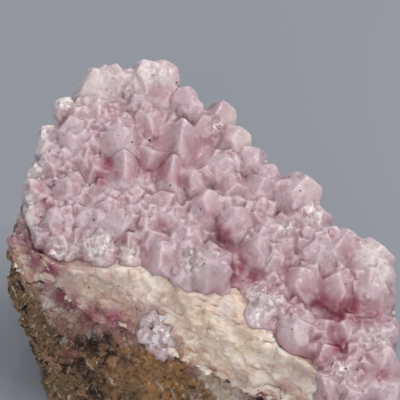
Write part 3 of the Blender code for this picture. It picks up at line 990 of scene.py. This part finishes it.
def patches(item, spots):
    """0 to 1 on each vertex: how deep it lies in round patches (right, down, radius,
    strength)."""
    right, down = seen_at(vertex_places(item))
    total = np.zeros(len(right))
    for x, y, radius, strength in spots:
        near = 1.25 - np.hypot(right - x, down - y) / radius
        total = np.maximum(total, strength * smooth_step(near))
    return total * facing(item, BED_REACH if item is bed else REACH)


# Where brown stone begins below the cream, and how high the beige between them is.
BROWN_EDGE = rows("""
    0 236, 9 250, 18 272, 26 291, 38 310, 52 327, 69 335, 90 342, 112 342, 126 346, 149 350,
    165 356, 179 361, 190 373, 203 387, 213 402, 230 440, 400 600
""")
BEIGE_BAND = [(0, 46), (60, 60), (140, 44), (190, 16), (400, 14)]
STAINS = {
    "magenta": rows("""
    50 272 12 1, 36 263 9 0.7, 48 285 11 0.6, 60 297 12 0.9, 72 303 13 0.8, 92 316 17 0.7,
    114 318 15 0.9, 125 326 13 0.5, 70 352 14 0.35, 262 394 10 0.9, 244 397 9 0.5,
    285 388 12 0.35, 192 370 9 0.3, 30 245 14 0.35, 58 258 12 0.3
    """),
    "mauve": rows("""
    28 232 26 0.9, 58 262 18 0.8, 86 264 16 0.6, 36 254 16 0.9, 112 268 12 0.3,
    140 312 14 0.5, 136 330 12 0.5, 20 210 14 0.6, 172 342 9 0.7, 240 382 16 0.35,
    300 372 14 0.4, 112 290 34 0.32, 78 284 22 0.4, 150 300 22 0.3
    """),
    "rust": rows("""
    98 304 17 0.6, 120 300 13 0.4, 88 322 13 0.4, 148 354 26 0.9, 185 362 24 0.9,
    165 385 34 0.8, 120 380 26 0.5, 208 386 20 0.5, 126 346 12 0.6, 112 288 16 0.25
    """),
    "chalk": rows("""
    47 303 6 1, 44 306 4 0.8, 64 341 4 0.5, 100 262 12 0.4, 130 272 20 0.8, 150 281 16 0.9,
    265 336 15 0.9, 225 302 15 0.7, 285 350 12 0.6, 196 398 8 0.5, 155 346 7 0.3
    """),
    # Dark patches: painted shade in a hollow and painted shadow low on the left, with a few dark
    # spots.
    "dark": rows("""
    92 342 13 1, 106 340 10 0.9, 80 340 9 0.8, 88 372 18 0.7, 66 358 9 0.5, 100 392 16 0.6,
    124 364 9 0.5, 128 398 12 0.5, 258 400 9 0.8, 14 282 7 0.5, 52 330 7 0.5
    """),
    "yellow": rows("""
    215 330 24 0.7, 240 352 30 0.8, 200 318 18 0.7, 290 362 16 0.8, 86 288 14 0.8,
    225 385 24 0.6, 262 372 20 0.6
    """),
}


def mark(item, is_rock):
    """Stores every stain and painted shade, and how brown the stone is, on one piece."""
    right, down = seen_at(vertex_places(item))
    below = below_edge(right, down, BROWN_EDGE)
    band = np.interp(right, *zip(*BEIGE_BAND))
    drawn = np.where(below < 0, 0.5 + 0.5 * below / band, 0.5 + below / 20)
    drawn = np.clip(drawn, 0, 1)
    front = facing(item, REACH if is_rock else 2.0)
    keep(item, "brown", front * drawn + (1 - front) * is_rock)
    for name, spots in STAINS.items():
        keep(item, name, patches(item, spots))


mark(rock, 1.0)
mark(bed, 0.0)
print("stains:", sorted(STAINS))

# %% Pale and sugary places of the crust, and deep ones that get painted shade
CRUST_MARKS = {
    "pale": rows("""
    22 225 16 1, 24 200 15 1, 30 172 14 1, 38 145 13 1, 48 118 14 1, 60 97 16 1, 78 82 16 0.9,
    96 74 18 0.9, 120 76 12 0.5, 150 66 20 0.8, 165 76 12 0.7, 95 95 14 0.5, 243 138 14 0.6,
    232 118 12 0.5, 375 256 22 0.9, 384 272 12 0.8, 310 185 14 0.4, 98 250 22 0.55,
    130 254 16 0.6, 70 248 16 0.4, 192 262 14 0.5, 262 300 22 0.55, 378 335 14 0.6,
    284 226 9 0.6, 316 210 12 0.5, 200 272 14 0.4, 298 330 16 0.35, 340 385 18 0.4,
    300 385 14 0.6, 160 332 26 0.4, 130 70 30 0.5, 70 90 26 0.6
    """),
    # Painted shade: deep rose in the hollows between crystals, and a weak wide darkening of the
    # lower right.
    "deep": rows("""
    108 164 9 1, 100 177 10 0.8, 222 234 11 0.8, 226 245 11 0.8, 240 270 15 0.9,
    252 277 13 0.9, 322 304 15 0.9, 340 310 16 0.9, 356 306 14 0.9, 372 308 14 0.7,
    334 325 13 1, 340 344 14 1, 381 374 12 0.8, 300 296 12 0.5, 215 292 8 0.5, 150 170 8 0.5,
    205 172 9 0.5, 268 288 10 0.6, 140 222 8 0.5, 316 340 9 0.6, 345 362 10 0.6,
    165 225 9 0.5, 185 180 9 0.5, 355 335 60 0.22, 330 380 50 0.28, 300 285 40 0.22,
    240 240 40 0.15
    """),
    "mauve": rows("""
    22 240 20 1, 42 252 14 0.8, 14 222 10 0.7, 64 262 8 0.4, 160 333 26 0.35
    """),
    "sugar": [(*spot, 1) for spot in SUGAR + [(160, 332, 24)]],
}
for name, spots in CRUST_MARKS.items():
    keep(sheet, name, patches(sheet, spots))
print("marks on the crust:", sorted(CRUST_MARKS))

# %% [markdown]
# ## The pink finish
# Cobalt tints the calcite, and the tint deepens as light bounces through it: rose in the
# crevices, nearly white at the tips. A clear material would show this by itself, but it
# renders very slowly. Here the stored openness paints it into the colour instead: painted
# shade in the crevices and painted light at the open tips, softened by light scattered
# under the skin.

# %% How much painted light and shade each place of the crust gets
class Finish(Wiring):
    """Material of one piece, with its Principled shader."""

    def __init__(self, name):
        self.material = bpy.data.materials.new(name)
        self.material.use_nodes = True
        super().__init__(self.material.node_tree)
        self.shader = self.tree.nodes["Principled BSDF"]

    def dress(self, inputs, relief, depth):
        """Links or sets inputs of the shader, and a fine relief this many millimetres deep."""
        for name, value in inputs.items():
            self.feed(self.shader.inputs[name], value)
        bump = self.add("Bump", {"Height": relief, "Distance": depth * MM})
        self.feed(self.shader.inputs["Normal"], bump.outputs["Normal"])


pink = Finish("pink_calcite")
tip, tone = pink.attribute("tip"), pink.attribute("tone")
wander = pink.around(pink.noise(5, 4, 0.6), 0.5, 0.36)
cloud = pink.around(pink.noise(1.7, 4, 0.6), 0.5, 0.34)
tips = pink.around(tip, 0.45, 0.40)
tones = pink.around(tone, 0.5, 0.24)
# Openness, nearness to a tip, noise and each crystal's tone add up to a painted light level: low
# in crevices, which get painted shade, and high at open tips, which get painted light.
painted_light_level = pink.math("ADD", pink.attribute("open"), wander, cloud, tips, tones)
PAINTED_SHADING = [  # lightness from and to, and the shade that the crust reaches there
    (-0.10, 0.24, (166, 110, 119)), (0.16, 0.44, (176, 126, 134)),
    (0.38, 0.70, (184, 146, 152)), (0.68, 1.05, (198, 172, 176)),
]
painted_shading_coats = [(pink.mask(painted_light_level, low, high), 1, tint) for low, high, tint in PAINTED_SHADING]
painted_shading = pink.layers(srgb(152, 84, 94), *painted_shading_coats)
print("crust in", len(PAINTED_SHADING) + 1, "painted_shading_coats")

# %% [markdown]
# The painted shading alone looks like wax. Real crystals have chalky rims, dusty and grimy
# spots and dark mineral grains. Over them come painted shade in the deepest hollows and on
# the lower right, and painted glints: bright flecks where tiny crystals would glitter.
# Painting them by hand would tie them to one view, so each is one coat over the shade,
# with its own computed mask.

# %% The coats of the crust
pale = patchy(pink, pink.attribute("pale"), 3, 4, 0.6, 0.22, 0.45)
mauve = patchy(pink, pink.attribute("mauve"), 2.2, 5, 0.7, 0.30, 0.55)
stipple = patchy(pink, pink.mask(tip, 0.3, 0.8), 0.5, 3, 0.7, 0.57, 0.64)
dust = patchy(pink, patchy(pink, 1.0, 4, 3, 0.6, 0.40, 0.60), 0.8, 4, 0.7, 0.50, 0.66)
grime = patchy(pink, patchy(pink, 1.0, 6, 2, 0.5, 0.52, 0.66), 0.6, 3, 0.7, 0.56, 0.70)
grains = pink.effect(SPECKS, Scale=per_metre(2.4), Edge=0.11, Core=0.08)
grains = patchy(pink, grains, 9, 1, 0.5, 0.52, 0.58)
# Painted glints: bright flecks in the colour on some Voronoi cells of the sugary places, where
# tiny facets would flash.
glint_cells = pink.mask(pink.texture("Voronoi", per_metre(0.9)).outputs["Color"], 0.50, 0.56)
painted_glints = pink.math("MULTIPLY", glint_cells, pink.attribute("sugar"))
painted_glints = patchy(pink, painted_glints, 2.4, 3, 0.6, 0.45, 0.53)
crust_colour = pink.layers(
    painted_shading,
    (pale, pink.mask(painted_light_level, 0.10, 0.35), (230, 218, 210)),
    (mauve, 1, (150, 112, 112)),
    (pink.mask(tip, 0.35, 0.95), 0.45, (190, 174, 178)),
    (stipple, 0.5, (140, 108, 112)),
    (dust, 0.45, (210, 194, 196)),
    (grime, 0.4, (134, 92, 94)),
    (grains, 1, (60, 35, 35)),
    # Painted shade: deep rose where the deep marks lie, on the less open places.
    (pink.attribute("deep"), pink.mask(painted_light_level, 1.50, 0.55), (140, 60, 78)),
    (painted_glints, 0.85, (250, 241, 238)),
)
print("crust colours from", len(pink.tree.nodes), "nodes")

# %% [markdown]
# Cleavage faces flash because each little facet is flat and tilted its own way. Modelling
# them would take millions of triangles. A height that rises evenly across each cell of a
# Voronoi pattern tilts the light in the same way, once a bump node turns it into relief.

# %% Gloss and relief of the crust
DULL, GLOSSY = 0.24, 0.07  # roughness of two kinds of crystal


def facets(tree, size):
    """Height of small flat facets, each tilted its own way, in metres."""
    cell = tree.texture("Voronoi", per_metre(size)).outputs
    sides = ((tree.place, cell["Position"]), (cell["Color"], (0.5, 0.5, 0.5)))
    local, tilt = [
        tree.add("VectorMath", {0: first, 1: second}, operation="SUBTRACT").outputs["Vector"]
        for first, second in sides
    ]
    return tree.add("VectorMath", {0: local, 1: tilt}, operation="DOT_PRODUCT").outputs["Value"]


sheen = pink.math("ADD", tone, pink.math("MULTIPLY", wander, 0.8))
sugary = pink.math("ADD", pink.math("MULTIPLY", pink.attribute("sugar"), 1.3), 0.34)
tilts = pink.math("ADD", facets(pink, 0.8), facets(pink, 2.2))
rough = pink.math("MULTIPLY", pink.noise(0.7, 5, 0.7), 0.10 * MM)
height = pink.math("ADD", pink.math("MULTIPLY", tilts, sugary), rough)
pink.dress({
    "Base Color": crust_colour, "IOR": 1.66,
    "Roughness": pink.mask(sheen, 0.40, 0.60, DULL, GLOSSY),
    "Subsurface Weight": 1.0, "Subsurface Radius": (1.0, 0.86, 0.88),
    "Subsurface Scale": 3.0 * MM,
}, pink.math("MULTIPLY", height, 1000), 1.0)
print("crust finish:", len(pink.tree.nodes), "nodes")

# %% [markdown]
# ## The stone colours
# Matrix and bed grade into each other, and a hard change of colour where their solids meet
# would look painted. So both take their colour from one shared effect, which goes from
# cream to brown by the stored brownness and lays the stains and the painted shade over that.

# %% From cream to brown
STONE = Effect("stone_colours", "Color", "NodeSocketColor", Wisps=0.75, Pits=0.85)
wisps, pits = STONE.given[:2]


def stain(name, size, detail, roughness, low, high):
    """Stored stain or painted shade, broken up into ragged patches."""
    return patchy(STONE, STONE.attribute(name), size, detail, roughness, low, high)


brownness = STONE.around(STONE.noise(4, 6, 0.7), 0.5, 1.5)
brownness = STONE.math("ADD", STONE.attribute("brown"), brownness)
rust = stain("rust", 2.0, 5, 0.7, 0.34, 0.58)
cream_tones = STONE.layers(
    srgb(226, 213, 200),
    (STONE.mask(STONE.noise(5, 5, 0.65), 0.40, 0.58), 1, (206, 182, 166)),
    (stain("yellow", 5, 3, 0.5, 0.35, 0.62), 0.55, (224, 210, 178)),
    (STONE.mask(fibres(STONE, 1.8, 4, 117, 5), 0.50, 0.68), 1, (186, 152, 136)),
)
brown_tones = STONE.layers(
    srgb(44, 24, 16),
    (STONE.mask(STONE.noise(2.6, 6, 0.75), 0.40, 0.60), 1, (190, 146, 110)),
    (STONE.mask(STONE.noise(7, 3, 0.6), 0.48, 0.64), 1, (134, 108, 74)),
    (STONE.mask(fibres(STONE, 1.0, 4, 40, 4), 0.58, 0.68), 1, (206, 180, 150)),
    (rust, 1, (188, 138, 84)),
)
pit = STONE.mask(STONE.noise(1.1, 5, 0.75), 0.44, 0.34)
pit = STONE.math("MULTIPLY", pit, STONE.mask(brownness, 0.1, 0.6))
STONE.feed(STONE.result, STONE.layers(
    cream_tones,
    (STONE.mask(brownness, 0.12, 0.46), 1, (172, 134, 118)),
    (rust, 0.8, (166, 118, 78)),
    (STONE.mask(brownness, 0.50, 0.66), 1, brown_tones),
    (stain("mauve", 2.0, 5, 0.7, 0.22, 0.46), 1, (150, 108, 108)),
    (stain("magenta", 1.8, 4, 0.7, 0.24, 0.48), 1, (136, 56, 80)),
    (stain("chalk", 3.0, 4, 0.6, 0.34, 0.60), 1, (234, 222, 210)),
    # Painted shade and shadow from the dark patches, with a few dark spots.
    (stain("dark", 2.2, 4, 0.6, 0.28, 0.52), 1, (44, 22, 14)),
    (STONE.mask(fibres(STONE, 0.9, 6, -25, 3), 0.60, 0.67), wisps, (220, 204, 186)),
    (pit, pits, (40, 22, 16)),
    (STONE.effect(SPECKS, Scale=per_metre(3.1), Edge=0.075, Core=0.05), 1, (58, 40, 30)),
))
print("stone colours from", len(STONE.tree.nodes), "nodes")

# %% [markdown]
# ## The two stone finishes
# The cream calcite lets a little light in, so it gets a short scatter under the skin, warm
# because red goes deepest. The matrix is duller, and its relief is much deeper. Fibres run
# along the bed and across the rock. One material for both would be quicker but lifeless.

# %% The cream calcite and the matrix
cream = Finish("cream_calcite")
cream.dress({
    "Base Color": cream.effect(STONE, Wisps=0.75, Pits=0.85), "Roughness": 0.5,
    "Subsurface Weight": 0.8, "Subsurface Radius": (1.0, 0.7, 0.5),
    "Subsurface Scale": 0.5 * MM,
}, cream.math("ADD", fibres(cream, 2.2, 3, 117, 5), cream.noise(0.9, 4, 0.6)), 0.18)

matrix = Finish("matrix")
matrix.dress({
    "Base Color": matrix.effect(STONE, Wisps=0.75, Pits=0.85), "Roughness": 0.75,
}, matrix.math("ADD", matrix.noise(2.4, 6, 0.75), fibres(matrix, 1.0, 4, 40, 4)), 1.2)
print("finishes:", [finish.material.name for finish in (pink, cream, matrix)])

# %% [markdown]
# ## Handing over
# The masters have done their work. Each piece gets its finish in a material slot and its
# body, and the solid that it stands for is hidden.

# %% Pieces, bodies and slots
SHARP = math.radians(35)  # edges steeper than this stay sharp

for item in sum(MASTERS.values(), SMALL_MASTERS):
    bpy.data.objects.remove(item)

PIECES = [
    (rock, "matrix_rock", "matrix", matrix),
    (bed, "cream_calcite_layer", "cream_calcite", cream),
    (sheet, "pink_crystal_druse", "pink_calcite", pink),
]
for item, node, slot, finish in PIECES:
    # What stands out of the solids' box is pressed back onto its sides.
    set_places(item, np.clip(vertex_places(item), *cad_box))
    pick(item)
    bpy.ops.object.shade_smooth_by_angle(angle=SHARP)
    item.data.materials.append(finish.material)
    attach(item, "root")
    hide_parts(node)
    print(item.name, triangles(item), "triangles")
